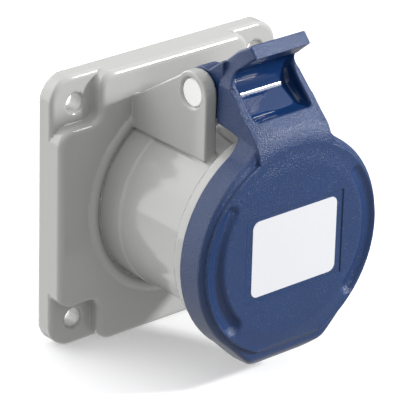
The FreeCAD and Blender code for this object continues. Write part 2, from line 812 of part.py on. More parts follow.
recess_shape = new_sketch(lid, "recess_shape", "XZ_Plane", "face_front + cut_over")
outline(recess_shape, rounded(margin_x, recess_top, recess_low, "label_corner"))
swept(lid, "Pocket", "label_recess", recess_shape, "label_recess_deep + cut_over")
inside_y = "(face_front - lid_wall)"
rib_outer = "(lid_gasket_inner - gasket_play)"
inside_shape = new_sketch(lid, "inside_shape", "XY_Plane")
outline(inside_shape, [
    ("0", "-" + inside_y),
    ("gasket_rib_inner", "-" + inside_y),
    ("gasket_rib_inner", "-(%s - gasket_rib_high)" % inside_y),
    (rib_outer, "-(%s - gasket_rib_high)" % inside_y),
    (rib_outer, "-" + inside_y),
    ("lid_radius - skirt_wall", "-" + inside_y),
    ("lid_radius - skirt_wall", "-(%s - cut_over)" % skirt_back),
    ("0", "-(%s - cut_over)" % skirt_back),
])
turned(lid, "Groove", "inside", inside_shape)

# Label plate, the pin and the rubber rings.
plate = new_body("label_plate")
label_shape = new_sketch(plate, "label_shape", "XZ_Plane", "face_front - label_recess_deep")
outline(label_shape, rounded("label_half", "label_top", "label_bottom", "label_corner"))
swept(plate, "Pad", "label", label_shape, "label_thick")

pin = new_body("hinge_pin")
pin_shape = new_sketch(pin, "pin_shape", "YZ_Plane")
ring(pin_shape, "-hinge_y", "hinge_z", "pin_radius")
swept(pin, "Pad", "pin_rod", pin_shape, "2 * (%s - pin_sink)" % ear_outer, both=True)
dressed(pin, "Chamfer", "pin_ends", "Size", "pin_chamfer",
        lambda box, edge: at(box.XLength, "0") and at(box.ZLength, "2 * pin_radius"))


def ring_body(label, inner, outer, front, back):
    """A plain ring about the socket's axis, between two depths."""
    body = new_body(label)
    shape = new_sketch(body, label + "_shape", "XY_Plane")
    outline(shape, [(inner, "-" + front), (outer, "-" + front), (outer, "-" + back), (inner, "-" + back)])
    turned(body, "Revolution", label + "_ring", shape)
    return body


ring_body("lid_gasket", "lid_gasket_inner", "lid_gasket_outer", inside_y, "(mouth + gasket_clear)")
ring_body("flange_gasket", "(groove_inner + gasket_play)", "(groove_outer - gasket_play)",
          "(groove_deep - gasket_play)", "gasket_play")
plug_radius = "(bore_radius - carrier_fit)"
ring_body("carrier_seal", "(%s - seal_deep + gasket_play)" % plug_radius, "(bore_radius - gasket_play)",
          "(seal_y + seal_width / 2)", "(seal_y - seal_width / 2)")

# Carrier ring: it fits the bore, carries the seal and clasps the feet of the insulators.
carrier = new_body("carrier_ring")
seal_floor = "(%s - seal_deep)" % plug_radius
seal_front = "(seal_y + seal_width / 2 + gasket_play)"
seal_back = "(seal_y - seal_width / 2 - gasket_play)"
foot_front = "(%s + foot_long)" % floor_y
carrier_shape = new_sketch(carrier, "carrier_shape", "XY_Plane")
outline(carrier_shape, [
    ("tower_radius + insulator_clear", "-plug_front"),
    (plug_radius, "-plug_front"),
    (plug_radius, "-" + seal_front),
    (seal_floor, "-" + seal_front),
    (seal_floor, "-" + seal_back),
    (plug_radius, "-" + seal_back),
    (plug_radius, "-" + floor_y),
    ("foot_radius + insulator_clear", "-" + floor_y),
    ("foot_radius + insulator_clear", "-(%s + insulator_clear)" % foot_front),
    ("tower_radius + insulator_clear", "-(%s + insulator_clear)" % foot_front),
])
turned(carrier, "Revolution", "carrier_form", carrier_shape)

# The earth contact is at the bottom, the two live ones are a third of a turn from it.
places = (("earth", 0), ("line", 120), ("neutral", 240))
kinds = {"earth": "earth", "line": "live", "neutral": "live"}
live_chamber = "(live_bore + live_wall + ring_thick + ring_clear + chamber_clear)"
earth_chamber = "(earth_bore + earth_wall + ring_thick + ring_clear + chamber_clear)"
chambers = {"earth": earth_chamber, "live": live_chamber}


def sector(body, name, radius, front, back):
    """A third of a round, drawn round the lowest contact, from one depth to another."""
    shape = new_sketch(body, name + "_shape", "XZ_Plane", back)
    chord = "sqrt(%s * %s - insulator_play * insulator_play)" % (radius, radius)
    side = "%s * sin(60) - insulator_play * cos(60)" % chord
    low = "-(%s * cos(60) + insulator_play * sin(60))" % chord
    outline(shape, [
        ("0", "-insulator_play / sin(60)"),
        ("-(%s)" % side, low),
        (side, low, radius, "left"),
    ])
    swept(body, "Pad", name, shape, "%s - %s" % (front, back))
    return side


# Three insulators, one round each contact, stand side by side and make the tower that the
# plug slides over. Each has a wider foot under the carrier ring.
for name, turn in places:
    kind = kinds[name]
    insulator = new_body("insulator_" + name)
    sector(insulator, name + "_foot", "foot_radius", foot_front, floor_y)
    side = sector(insulator, name + "_tower", "tower_radius", "tower_front", foot_front)
    dressed(insulator, "Chamfer", name + "_tower_bevel", "Size", "tower_bevel",
            lambda box, edge: at(box.YMin, "-tower_front") and at(box.YMax, "-tower_front")
            and at(box.XLength, "2 * (%s)" % side))
    chamber_shape = new_sketch(insulator, name + "_chamber_shape", "XZ_Plane", floor_y + " - cut_over")
    ring(chamber_shape, "0", "-pitch_radius", chambers[kind])
    swept(insulator, "Pocket", name + "_chamber", chamber_shape,
          "tower_front - front_wall - %s + cut_over" % floor_y, reverse=True)
    entry_shape = new_sketch(insulator, name + "_entry_shape", "XZ_Plane", "tower_front + cut_over")
    ring(entry_shape, "0", "-pitch_radius", kind + "_bore + entry_clear")
    swept(insulator, "Pocket", name + "_entry", entry_shape, "front_wall + 2 * cut_over")
    dressed(insulator, "Chamfer", name + "_entry_rim", "Size", "entry_lead",
            lambda box, edge: at(box.YMin, "-tower_front") and at(box.YMax, "-tower_front")
            and at(box.XLength, "2 * (%s_bore + entry_clear)" % kind))
    insulator.Placement = FreeCAD.Placement(FreeCAD.Vector(), FreeCAD.Rotation(FreeCAD.Vector(0, 1, 0), turn))

# Terminal holder: a disc screwed to the housing, which traps the carrier ring, the
# insulators and the contacts' collars, with a round block behind it.
holder = new_body("terminal_holder")
disc_back = "(%s - carrier_disc_thick)" % floor_y
holder_shape = new_sketch(holder, "holder_shape", "XY_Plane")
outline(holder_shape, [
    ("0", "-" + floor_y),
    ("carrier_disc", "-" + floor_y),
    ("carrier_disc", "-" + disc_back),
    ("block_radius", "-" + disc_back),
    ("block_radius", "block_back"),
    ("0", "block_back"),
])
turned(holder, "Revolution", "holder_form", holder_shape)
shank_shape = new_sketch(holder, "shank_shape", "XZ_Plane", floor_y + " + cut_over")
for name, turn in places:
    ring(shank_shape, "-pitch_radius * sin(%d)" % turn, "-pitch_radius * cos(%d)" % turn,
         "shank_radius + chamber_clear")
swept(holder, "Pocket", "shank_holes", shank_shape, floor_y + " + cut_over")

# In the block, three square chambers hold the terminals, each open to the side for its screw.
cavity_shape = new_sketch(holder, "cavity_shape", "XZ_Plane", "-(block_back + cut_over)")
outline(cavity_shape, [
    ("-cavity_half", "-(pitch_radius + cavity_half)"),
    ("cavity_half", "-(pitch_radius + cavity_half)"),
    ("cavity_half", "-(pitch_radius - cavity_half)"),
    ("-cavity_half", "-(pitch_radius - cavity_half)"),
])
cavity = swept(holder, "Pocket", "cavity", cavity_shape, "block_back + cavity_floor + cut_over", reverse=True)
access_shape = new_sketch(holder, "access_shape", "XY_Plane", "-(block_radius + cut_over)")
ring(access_shape, "0", "clamp_y", "clamp_access")
access = swept(holder, "Pocket", "access", access_shape,
               "block_radius - pitch_radius - cavity_half + 2 * cut_over", reverse=True)
around(holder, "three_terminals", [cavity, access], 3)
pass_shape = new_sketch(holder, "pass_shape", "XZ_Plane", "%s - cut_over" % disc_back)
bite_shape = new_sketch(holder, "bite_shape", "XZ_Plane", "-(block_back + cut_over)")
for turn in ("90", "210", "330"):
    ring(pass_shape, "carrier_screw_ring * cos(%s)" % turn, "carrier_screw_ring * sin(%s)" % turn, "screw_pass")
    ring(bite_shape, "retainer_screw_ring * cos(%s)" % turn, "retainer_screw_ring * sin(%s)" % turn, "screw_hole")
swept(holder, "Pocket", "screw_passes", pass_shape, "carrier_disc_thick + 2 * cut_over", reverse=True)
swept(holder, "Pocket", "screw_bites", bite_shape,
      "retainer_screw_long - retainer_thick + screw_end + cut_over", reverse=True)

# Contact sleeves and their spring rings. Each is drawn on its own axis, then set in place.
sleeve_front = "(tower_front - front_wall - sleeve_front_clear)"


def in_place(body, turn):
    """Move a body from the socket's axis to its contact's axis."""
    body.Placement = FreeCAD.Placement(FreeCAD.Vector(), FreeCAD.Rotation(FreeCAD.Vector(0, 1, 0), turn))
    drive(body, "Placement.Base.x", "-pitch_radius * sin(%d)" % turn)
    drive(body, "Placement.Base.z", "-pitch_radius * cos(%d)" % turn)


for name, turn in places:
    kind = kinds[name]
    bore = kind + "_bore"
    outside = "(%s_bore + %s_wall)" % (kind, kind)
    chamber = chambers[kind]
    sleeve = new_body("contact_" + name)
    sleeve_shape = new_sketch(sleeve, name + "_sleeve_shape", "XY_Plane")
    outline(sleeve_shape, [
        (bore, "-" + sleeve_front),
        (outside, "-" + sleeve_front),
        (outside, "-sleeve_back"),
        (chamber + " - chamber_clear", "-sleeve_back"),
        (chamber + " - chamber_clear", "-(%s + chamber_clear)" % floor_y),
        ("shank_radius", "-(%s + chamber_clear)" % floor_y),
        ("shank_radius", "-cavity_floor"),
        ("tail_radius", "-cavity_floor"),
        ("tail_radius", "tail_long"),
        ("0", "tail_long"),
        ("0", "-(%s - pin_depth)" % sleeve_front),
        (bore, "-(%s - pin_depth)" % sleeve_front),
    ])
    turned(sleeve, "Revolution", name + "_sleeve", sleeve_shape)
    slit_shape = new_sketch(sleeve, name + "_slit_shape", "XZ_Plane", sleeve_front + " + cut_over")
    outline(slit_shape, [
        (bore + " - cut_over", "-slit_wide / 2"),
        (outside + " + cut_over", "-slit_wide / 2"),
        (outside + " + cut_over", "slit_wide / 2"),
        (bore + " - cut_over", "slit_wide / 2"),
    ])
    slit = swept(sleeve, "Pocket", name + "_slit", slit_shape, "slit_long + cut_over")
    around(sleeve, name + "_slits", [slit], 4)
    in_place(sleeve, turn)

    clip = new_body("ring_" + name)
    clip_shape = new_sketch(clip, name + "_ring_shape", "XY_Plane")
    outline(clip_shape, [
        (outside + " + ring_clear", "-(%s - ring_wide)" % sleeve_front),
        (outside + " + ring_clear + ring_thick", "-(%s - ring_wide)" % sleeve_front),
        (outside + " + ring_clear + ring_thick", "-(%s - 2 * ring_wide)" % sleeve_front),
        (outside + " + ring_clear", "-(%s - 2 * ring_wide)" % sleeve_front),
    ])
    turned(clip, "Revolution", name + "_clip", clip_shape)
    in_place(clip, turn)

    # The terminal is a square block on the sleeve's tail, with a clamp screw from the side.
    block = new_body("terminal_" + name)
    block_shape = new_sketch(block, name + "_block_shape", "XZ_Plane", "cavity_floor - terminal_clear")
    outline(block_shape, [
        ("-terminal_half", "-terminal_half"),
        ("terminal_half", "-terminal_half"),
        ("terminal_half", "terminal_half"),
        ("-terminal_half", "terminal_half"),
    ])
    ring(block_shape, "0", "0", "tail_radius + tail_clear")
    swept(block, "Pad", name + "_block", block_shape,
          "block_back + cavity_floor - 2 * terminal_clear", reverse=True)
    thread_shape = new_sketch(block, name + "_thread_shape", "XY_Plane", "-(terminal_half + cut_over)")
    ring(thread_shape, "0", "clamp_y", "clamp_radius + terminal_clear")
    swept(block, "Pocket", name + "_thread", thread_shape, "terminal_half + cut_over", reverse=True)
    in_place(block, turn)

# Retainer: a round plate that closes the terminal chambers, with a hole for each wire.
retainer = new_body("contact_retainer")
retainer_shape = new_sketch(retainer, "retainer_shape", "XZ_Plane", "-block_back")
ring(retainer_shape, "0", "0", "retainer_radius")
for turn in ("90", "210", "330"):
    ring(retainer_shape, "retainer_screw_ring * cos(%s)" % turn,
         "retainer_screw_ring * sin(%s)" % turn, "screw_pass")
for name, turn in places:
    ring(retainer_shape, "-pitch_radius * sin(%d)" % turn, "-pitch_radius * cos(%d)" % turn, "wire_hole")
swept(retainer, "Pad", "retainer_plate", retainer_shape, "retainer_thick", reverse=True)


def screw(name, angle, axis, shank, long, head, high):
    """A slotted screw along its own Z, the head's underside at zero, then turned as it lies."""
    rod = doc.addObject("Part::Cylinder", name + "_rod")
    drive(rod, "Radius", shank)
    drive(rod, "Height", long)
    cap = doc.addObject("Part::Cylinder", name + "_cap")
    drive(cap, "Radius", head)
    drive(cap, "Height", high)
    drive(cap, "Placement.Base.z", "-" + high)
    blank = doc.addObject("Part::Fuse", name + "_blank")
    blank.Base = rod
    blank.Tool = cap
    slot = doc.addObject("Part::Box", name + "_slot")
    drive(slot, "Length", "2 * (%s + cut_over)" % head)
    drive(slot, "Width", "slot_wide")
    drive(slot, "Height", "slot_deep + cut_over")
    drive(slot, "Placement.Base.x", "-(%s + cut_over)" % head)
    drive(slot, "Placement.Base.y", "-slot_wide / 2")
    drive(slot, "Placement.Base.z", "-(%s + cut_over)" % high)
    done = doc.addObject("Part::Cut", name)
    done.Base = blank
    done.Tool = slot
    done.Placement = FreeCAD.Placement(FreeCAD.Vector(), FreeCAD.Rotation(axis, angle))
    return done


def group(label, members):
    """Alike screws as one set of separate solids."""
    bundle = doc.addObject("Part::Compound", label)
    bundle.Label = label
    bundle.Links = members
    features.append(bundle)


# Carrier and retainer screws point forward. Clamp screws point at the contacts' axes.
across = FreeCAD.Vector(1, 0, 0)
carrier_screws = []
retainer_screws = []
clamp_screws = []
for turn in ("90", "210", "330"):
    item = screw("carrier_screw_" + turn, 90, across, "screw_radius",
                 "carrier_disc_thick + carrier_screw_bite", "screw_head", "screw_head_high")
    drive(item, "Placement.Base.x", "carrier_screw_ring * cos(%s)" % turn)
    drive(item, "Placement.Base.y", "-" + disc_back)
    drive(item, "Placement.Base.z", "carrier_screw_ring * sin(%s)" % turn)
    carrier_screws.append(item)
    item = screw("retainer_screw_" + turn, 90, across, "screw_radius", "retainer_screw_long",
                 "screw_head", "screw_head_high")
    drive(item, "Placement.Base.x", "retainer_screw_ring * cos(%s)" % turn)
    drive(item, "Placement.Base.y", "block_back + retainer_thick")
    drive(item, "Placement.Base.z", "retainer_screw_ring * sin(%s)" % turn)
    retainer_screws.append(item)
clamp_start = "(pitch_radius + terminal_half + terminal_clear)"
for name, turn in places:
    item = screw("clamp_screw_" + name, turn, FreeCAD.Vector(0, 1, 0), "clamp_radius",
                 "terminal_half - tail_radius - tail_clear", "clamp_head", "clamp_head_long")
    drive(item, "Placement.Base.x", "-%s * sin(%d)" % (clamp_start, turn))
    drive(item, "Placement.Base.y", "clamp_y")
    drive(item, "Placement.Base.z", "-%s * cos(%d)" % (clamp_start, turn))
    clamp_screws.append(item)
group("carrier_screws", carrier_screws)
group("retainer_screws", retainer_screws)
group("clamp_screws", clamp_screws)

# Torsion spring on the pin: a coil with one leg down to the barrel and one up the neck.
doc.recompute()
coil = value(coil_mean)
wire = value("wire_radius")
pitch = value("coil_pitch")
lean = value("leg_lean_angle")
turns = value("coil_count") + (90 - lean) / 360
helix = Part.makeLongHelix(pitch, turns * pitch, coil, 0, True)
helix.Placement = FreeCAD.Placement(
    FreeCAD.Vector(-turns * pitch / 2, 0, 0),
    FreeCAD.Rotation(FreeCAD.Vector(1, 1, 1), 120) * FreeCAD.Rotation(FreeCAD.Vector(0, 0, 1), 270 - lean))
first, last = helix.OrderedEdges[0], helix.OrderedEdges[-1]
begin = first.valueAt(first.FirstParameter)
heading = first.tangentAt(first.FirstParameter)
finish = last.valueAt(last.LastParameter)
leaving = last.tangentAt(last.LastParameter)
corners = Part.makeCircle(wire, begin, heading).discretize(int(value("wire_side_count")) + 1)
section = Part.makePolygon(corners)
coil_solid = Part.Wire(helix.OrderedEdges).makePipeShell([section], True, True)
drop = value("hinge_z - barrel_front - wire_radius - spring_clear") - coil * math.cos(math.radians(lean))
leg_down = Part.makeCylinder(wire, drop / math.sin(math.radians(lean)), begin, heading * -1)
leg_up = Part.makeCylinder(wire, value("spring_leg_up"), finish, leaving)
spring = doc.addObject("Part::Feature", "lid_spring")
spring.Shape = coil_solid.fuse([leg_down, leg_up])
spring.Placement = FreeCAD.Placement(FreeCAD.Vector(0, -value("hinge_y"), value("hinge_z")), FreeCAD.Rotation())
spring.Label = "lid_spring"
features.append(spring)

# Everything is checked before a file is written.
doc.recompute()
for item in doc.Objects:
    if "Invalid" in item.State or "Error" in item.State:
        raise RuntimeError("%s is not up to date" % item.Label)
    if item.isDerivedFrom("PartDesign::Body"):
        volume = 0.0
        for feature in item.Group:
            if not feature.isDerivedFrom("PartDesign::Feature"):
                continue
            if feature.TypeId in ("PartDesign::Pocket", "PartDesign::Groove") and feature.Shape.Volume >= volume:
                raise RuntimeError("%s cuts nothing" % feature.Label)
            volume = feature.Shape.Volume
for item in features:
    if item.Shape.isNull() or not item.Shape.isValid():
        raise RuntimeError("%s has no valid shape" % item.Label)

os.makedirs("parts", exist_ok=True)
for item in features:
    item.Shape.exportStep("parts/" + item.Label + ".step")
    print(item.Label, len(item.Shape.Solids), round(item.Shape.Volume, 1))
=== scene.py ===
import math
import bpy
import numpy as np
from mathutils import Matrix, Vector


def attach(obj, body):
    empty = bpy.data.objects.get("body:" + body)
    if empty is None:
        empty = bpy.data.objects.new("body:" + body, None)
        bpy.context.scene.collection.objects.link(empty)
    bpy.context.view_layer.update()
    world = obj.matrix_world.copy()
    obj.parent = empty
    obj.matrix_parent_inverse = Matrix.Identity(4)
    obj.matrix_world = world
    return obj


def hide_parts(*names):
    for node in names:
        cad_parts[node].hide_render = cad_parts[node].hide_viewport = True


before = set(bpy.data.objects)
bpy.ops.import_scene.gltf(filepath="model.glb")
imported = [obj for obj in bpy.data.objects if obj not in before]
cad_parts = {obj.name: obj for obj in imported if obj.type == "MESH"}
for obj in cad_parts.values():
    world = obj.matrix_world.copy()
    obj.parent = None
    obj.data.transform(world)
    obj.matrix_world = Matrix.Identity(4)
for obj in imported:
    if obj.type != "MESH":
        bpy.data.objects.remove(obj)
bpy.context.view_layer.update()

# Camera
# The photograph's view, from the left and above through a long lens, so that the flange,
# the barrel and the closed lid all show.
view_line = Vector((0.5985, 0.6864, -0.4131)).normalized()
view_right = view_line.cross(Vector((0.2515, 0.3287, 0.9103))).normalized()
view_up = view_right.cross(view_line).normalized()
stand = Vector((-0.48207, -0.57229, 0.33298))
focal_pixels, picture_pixels, sensor_width = 3133.5, 400, 36.0
camera_data = bpy.data.cameras.new("studio_camera")
camera_data.sensor_width = sensor_width
camera_data.lens = focal_pixels / picture_pixels * sensor_width
camera_data.clip_start = 0.05
camera_data.clip_end = 20.0
camera = bpy.data.objects.new("studio_camera", camera_data)
bpy.context.scene.collection.objects.link(camera)
camera.matrix_world = Matrix((
    (view_right.x, view_up.x, -view_line.x, stand.x),
    (view_right.y, view_up.y, -view_line.y, stand.y),
    (view_right.z, view_up.z, -view_line.z, stand.z),
    (0, 0, 0, 1),
))
bpy.context.scene.camera = camera

# Front housing
# The grey flange, barrel and hinge ears are one injection moulding in a tough plastic.
# Its skin is a fine satin with faint flow marks, and each edge and inner corner has the
# mould's radius, so the form is drawn as a distance field and then skinned. Millimetres.


def blend(a, b, radius):
    """Two solids joined, with a fillet where they meet."""
    corner = np.hypot(np.maximum(radius - a, 0), np.maximum(radius - b, 0))
    return np.maximum(radius, np.minimum(a, b)) - corner


def shared(a, b, radius):
    """What two solids share, with the edge between them rounded."""
    corner = np.hypot(np.maximum(radius + a, 0), np.maximum(radius + b, 0))
    return np.minimum(-radius, np.maximum(a, b)) + corner


def cut(body, tool, radius):
    """A solid with another cut out of it, the rim rounded."""
    return shared(body, -tool, radius)


def outline(a, b, points):
    """Signed distance from each place to a closed line of points."""
    nearest, inside = None, None
    for (ax, bx), (ay, by) in zip(points, points[1:] + points[:1]):
        run, rise = ay - ax, by - bx
        along = np.clip(((a - ax) * run + (b - bx) * rise) / (run * run + rise * rise), 0, 1)
        gap = (a - ax - run * along) ** 2 + (b - bx - rise * along) ** 2
        level_rise = rise if abs(rise) > 1e-9 else 1e-9
        crossed = ((bx <= b) != (by <= b)) & (a < ax + run * (b - bx) / level_rise)
        nearest = gap if nearest is None else np.minimum(nearest, gap)
        inside = crossed if inside is None else inside ^ crossed
    return np.where(inside, -1.0, 1.0) * np.sqrt(nearest)


def bow(centre, radius, first, last, count=12):
    """Points along an arc, its angles in degrees."""
    turns = (math.radians(first + (last - first) * n / count) for n in range(count + 1))
    return [(centre[0] + radius * math.cos(t), centre[1] + radius * math.sin(t)) for t in turns]


def moulded(name, field, low, high, cell):
    """A closed smooth mesh on the zero level of a field of x, depth from the panel, and height."""
    steps = [np.arange(a, b + cell, cell, dtype=np.float32) for a, b in zip(low, high)]
    level = field(*np.meshgrid(*steps, indexing="ij", sparse=True)).astype(np.float32)
    solid = level < 0
    corners = [(a, b, c) for a in (0, 1) for b in (0, 1) for c in (0, 1)]
    size = [n - 1 for n in solid.shape]
    views = [solid[a:a + size[0], b:b + size[1], c:c + size[2]] for a, b, c in corners]
    mixed = np.logical_or.reduce(views) & ~np.logical_and.reduce(views)
    cells = np.argwhere(mixed)
    total, hits = np.zeros((len(cells), 3)), np.zeros(len(cells))
    for start in corners:
        for axis in range(3):
            if start[axis]:
                continue
            end = tuple(1 if n == axis else start[n] for n in range(3))
            one = level[tuple((cells + start).T)].astype(float)
            two = level[tuple((cells + end).T)].astype(float)
            met = (one < 0) != (two < 0)
            share = np.where(met, one / np.where(met, one - two, 1.0), 0.0)
            place = np.array(start, float) + share[:, None] * (np.array(end) - start)
            total += place * met[:, None]
            hits += met
    spots = np.array(low) + cell * (cells + total / hits[:, None])
    number = np.full(mixed.shape, -1, np.int32)
    number[mixed] = np.arange(len(cells))
    faces = []
    for axis in range(3):
        side, up = (axis + 1) % 3, (axis + 2) % 3
        grid = np.moveaxis(solid, (axis, side, up), (0, 1, 2))
        index = np.moveaxis(number, (axis, side, up), (0, 1, 2))
        first, second = grid[:-1, 1:-1, 1:-1], grid[1:, 1:-1, 1:-1]
        i, j, k = np.nonzero(first != second)
        quad = np.stack([index[i, j, k], index[i, j + 1, k], index[i, j + 1, k + 1], index[i, j, k + 1]], 1)
        inward = first[i, j, k]
        quad[inward] = quad[inward][:, ::-1]
        faces.append(quad)
    faces = np.concatenate(faces)

    def slope(points, step):
        """The field's gradient at each point."""
        rise = []
        for axis in range(3):
            shift = np.zeros(3)
            shift[axis] = step
            rise.append(field(*(points + shift).T) - field(*(points - shift).T))
        return np.stack(rise, 1) / (2 * step)

    least_lean = 0.2
    for _ in range(2):
        lean = slope(spots, 0.03)
        move = field(*spots.T)[:, None] * lean / np.maximum((lean ** 2).sum(1), least_lean)[:, None]
        spots -= np.clip(move, -cell / 2, cell / 2)
    facing = slope(spots, 0.05)
    facing /= np.maximum(np.linalg.norm(facing, axis=1), 1e-6)[:, None]
    flip = np.array((1, -1, 1))
    mesh = bpy.data.meshes.new(name)
    mesh.vertices.add(len(spots))
    mesh.vertices.foreach_set("co", (spots * flip / 1000).ravel())
    mesh.loops.add(faces.size)
    mesh.loops.foreach_set("vertex_index", faces.ravel())
    mesh.polygons.add(len(faces))
    mesh.polygons.foreach_set("loop_start", np.arange(0, faces.size, 4))
    mesh.polygons.foreach_set("use_smooth", np.ones(len(faces), bool))
    mesh.update(calc_edges=True)
    mesh.normals_split_custom_set_from_vertices((facing * flip).tolist())
    item = bpy.data.objects.new(name, mesh)
    bpy.context.scene.collection.objects.link(item)
    return item, spots


hinge = (32.0, 37.8)
bore = 22.4
flange_half = 37.5
flange_corner = 7.0
flange_thick = 5.2
plate_thick = 9.1
notch_across, notch_high = 24.6, 24.8
bead_circle, bead_depth, bead_radius = 26.7, 8.13, 1.87
barrel_radius, barrel_end = 24.4, 43.0
taper_start, taper_length, taper_rise = 17.2, 24.7, 0.6
band_edge, band_fade, band_height = 17.8, 1.2, 0.4
collar_radius, collar_middle, collar_half = 28.0, 44.15, 2.25
lip_radius, mouth = 24.5, 50.6
flare_start = 49.9
keyway_half, keyway_reach, keyway_foot = 3.1, 23.6, 20.6
socket_back = (31.0, 5.5)
groove_circle, groove_half, groove_depth = 34.4, 1.2, 2.0
ear_middle, ear_half = 12.95, 1.85
ear_face = 14.2
eye_radius = 3.75
fixing_half = 30.0
fixing_radius = 2.6
fixing_face = 4.8
screw_circle, screw_radius, screw_depth = 26.45, 1.4, 8.5
chamfer_lean, chamfer_width = 0.707, 0.8
ear_side = (
    [(9.1, 21.0), (9.1, 29.5)]
    + bow(hinge, 5.7, 143.0, 0.0)
    + [(37.7, 21.0)]
)


def housing_field(x, d, z):
    """Flange, raised plate, barrel and ears, less everything bored out of them."""
    across, high = np.abs(x), np.abs(z)
    round_way = np.hypot(x, z)
    in_x, in_z = across - flange_half + flange_corner, high - flange_half + flange_corner
    pad = np.hypot(np.maximum(in_x, 0), np.maximum(in_z, 0))
    pad = pad + np.minimum(np.maximum(in_x, in_z), 0) - flange_corner
    pad = shared(shared(pad, d - flange_thick, 1.3), -d, 0.15)
    notch = shared(notch_across - across, notch_high - high, 3.0)
    plate = cut(np.maximum(across, high) - flange_half, notch, 4.5)
    plate = shared(shared(plate, d - plate_thick, 1.6), -d, 0.15)
    body = np.minimum(pad, plate)
    bead = np.hypot(round_way - bead_circle, d - bead_depth) - bead_radius
    ease = np.clip((band_edge - d) / band_fade, 0, 1)
    band = band_height * ease * ease * (3 - 2 * ease)
    taper = np.maximum(d - taper_start, 0) * taper_rise / taper_length
    wall = shared(round_way - barrel_radius - taper - band, d - barrel_end, 0.1)
    collar = shared(round_way - collar_radius, np.abs(d - collar_middle) - collar_half, 0.6)
    lip = shared(round_way - lip_radius, d - mouth, 0.5)
    ear = shared(outline(d, z, ear_side), np.abs(across - ear_middle) - ear_half, 0.5)
    round_part = np.minimum(blend(wall, collar, 0.35), lip)
    round_part = blend(round_part, ear, 0.8)
    body = np.minimum(blend(np.minimum(body, bead), round_part, 0.3), round_part)
    flare = np.maximum(d - flare_start, 0)
    inside = np.maximum(round_way - bore - flare, -d - 1)
    keyway = np.maximum(
        np.maximum(across - keyway_half, z), np.maximum(-z - keyway_reach, keyway_foot - d))
    body = cut(body, np.minimum(inside, keyway), 0.15)
    body = cut(body, np.maximum(round_way - socket_back[0], d - socket_back[1]), 0.15)
    groove = np.maximum(np.abs(round_way - groove_circle) - groove_half, d - groove_depth)
    body = cut(body, groove, 0.1)
    fixing = np.hypot(across - fixing_half, high - fixing_half) - fixing_radius
    countersink = np.maximum((fixing + fixing_face - d) * chamfer_lean, fixing - chamfer_width)
    body = cut(body, np.minimum(fixing, countersink), 0.1)
    for turn in (90, 210, 330):
        at_x = screw_circle * math.cos(math.radians(turn))
        at_z = screw_circle * math.sin(math.radians(turn))
        screw = np.hypot(x - at_x, z - at_z) - screw_radius
        body = cut(body, np.maximum(screw, d - screw_depth), 0.05)
    eye = np.hypot(d - hinge[0], z - hinge[1]) - eye_radius
    cone = np.maximum((eye + ear_face - across) * chamfer_lean, eye - chamfer_width)
    return cut(body, np.minimum(eye, cone), 0.08)


def moulded_skin():
    """A shader group for moulded plastic: fine grain, faint mottling and a little dust."""
    group = bpy.data.node_groups.new("moulded_skin", "ShaderNodeTree")
    face = group.interface
    for name, value in (("Grain Scale", 2500.0), ("Mottle", 0.03), ("Dust", 0.02), ("Polish", 0.0)):
        socket = face.new_socket(name=name, in_out="INPUT", socket_type="NodeSocketFloat")
        socket.default_value = value
    face.new_socket(name="Colour", in_out="INPUT", socket_type="NodeSocketColor")
    face.new_socket(name="Roughness", in_out="INPUT", socket_type="NodeSocketFloat")
    face.new_socket(name="Colour", in_out="OUTPUT", socket_type="NodeSocketColor")
    face.new_socket(name="Roughness", in_out="OUTPUT", socket_type="NodeSocketFloat")
    face.new_socket(name="Height", in_out="OUTPUT", socket_type="NodeSocketFloat")
    nodes, links = group.nodes, group.links
    take, give = nodes.new("NodeGroupInput"), nodes.new("NodeGroupOutput")
    place = nodes.new("ShaderNodeTexCoord")

    def sums(kind, first, second, third=None):
        """One step of arithmetic on sockets or numbers."""
        node = nodes.new("ShaderNodeMath")
        node.operation = kind
        for socket, source in zip(node.inputs, (first, second, third)):
            if isinstance(source, (int, float)):
                socket.default_value = source
            elif source is not None:
                links.new(source, socket)
        return node.outputs[0]

    def clouds(scale, detail):
        """A noise in the piece's own space."""
        node = nodes.new("ShaderNodeTexNoise")
        node.inputs["Detail"].default_value = detail
        links.new(place.outputs["Object"], node.inputs["Vector"])
        if isinstance(scale, float):
            node.inputs["Scale"].default_value = scale
        else:
            links.new(scale, node.inputs["Scale"])
        return node.outputs["Fac"]

    rough_part = sums("SUBTRACT", 1.0, take.outputs["Polish"])
    grain = clouds(take.outputs["Grain Scale"], 2.0)
    links.new(sums("MULTIPLY", grain, rough_part), give.inputs["Height"])
    cloud = sums("SUBTRACT", clouds(70.0, 4.0), 0.5)
    flecks = sums("SUBTRACT", clouds(take.outputs["Grain Scale"], 0.0), 0.5)
    shade = sums("MULTIPLY_ADD", sums("ADD", cloud, flecks), take.outputs["Mottle"], 1.0)
    tinted = nodes.new("ShaderNodeVectorMath")
    tinted.operation = "SCALE"
    links.new(take.outputs["Colour"], tinted.inputs[0])
    links.new(shade, tinted.inputs["Scale"])
    few = nodes.new("ShaderNodeMapRange")
    few.inputs["From Min"].default_value = 0.68
    few.inputs["From Max"].default_value = 0.8
    links.new(clouds(900.0, 1.0), few.inputs["Value"])
    topped = nodes.new("ShaderNodeMix")
    topped.data_type = "RGBA"
    topped.inputs["B"].default_value = (0.85, 0.84, 0.82, 1.0)
    links.new(sums("MULTIPLY", few.outputs["Result"], take.outputs["Dust"]), topped.inputs["Factor"])
    links.new(tinted.outputs["Vector"], topped.inputs["A"])
    links.new(topped.outputs["Result"], give.inputs["Colour"])
    duller = sums("MULTIPLY_ADD", cloud, 0.1, take.outputs["Roughness"])
    links.new(sums("MULTIPLY_ADD", take.outputs["Polish"], -0.25, duller), give.inputs["Roughness"])
    return group


skin_group = moulded_skin()


grain_depth = 0.0002


